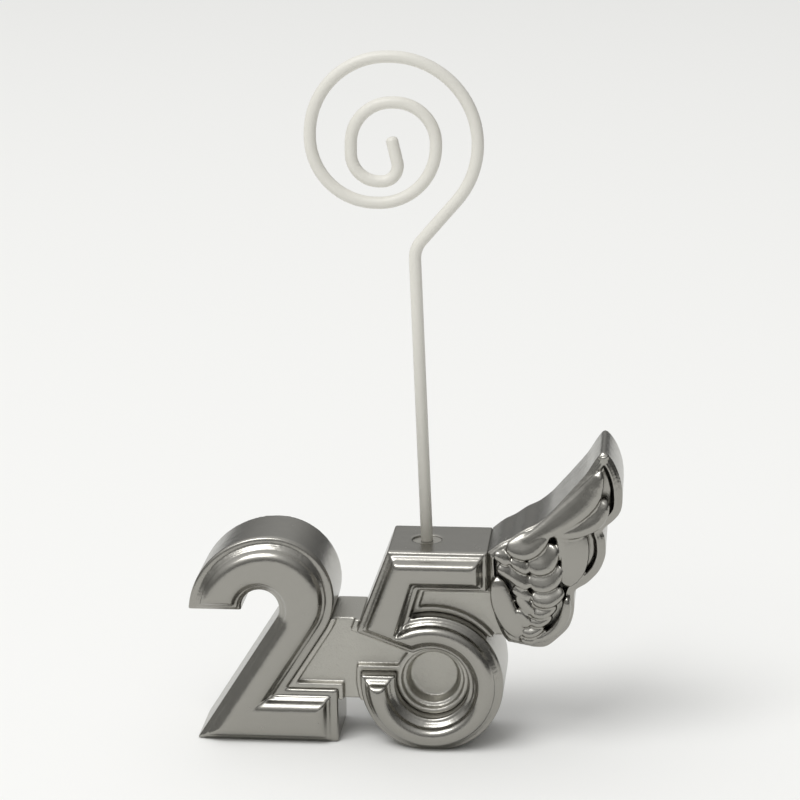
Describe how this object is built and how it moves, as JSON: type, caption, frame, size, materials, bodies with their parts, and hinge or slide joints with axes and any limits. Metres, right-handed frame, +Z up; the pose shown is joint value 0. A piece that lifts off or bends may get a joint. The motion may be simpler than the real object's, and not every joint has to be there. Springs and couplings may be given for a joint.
{
  "type": "place card holder",
  "caption": "Standing silver cast figure of a number with a small feathered wing, and a white wire on top that winds into a flat spiral to grip a name card.",
  "frame": {"origin": "middle of the bounding box at the table, under the figure", "axes": "+Z up, the front of the digits faces -Y, +X to the right as seen from the front"},
  "size_m": [0.072, 0.0164, 0.1157],
  "materials": {
    "silver": "cast resin with a bright silver metallised skin",
    "silver_grain": "grainy silver skin in the recesses",
    "white_wire": "satin white coat on steel wire"
  },
  "bodies": {
    "figure": {"digit_two": "silver", "digit_five": "silver", "link_web": "silver_grain", "notch_web": "silver_grain", "wing": "silver", "wire_socket": "silver_grain"},
    "wire": {"card_wire": "white_wire"}
  },
  "joints": [
    {"name": "wire_swivel", "type": "hinge", "parent": "figure", "child": "wire", "pos_m": [0.00365, 0.001, 0.0345], "axis": [-0.0349, 0, 0.9994], "continuous": true}
  ]
}
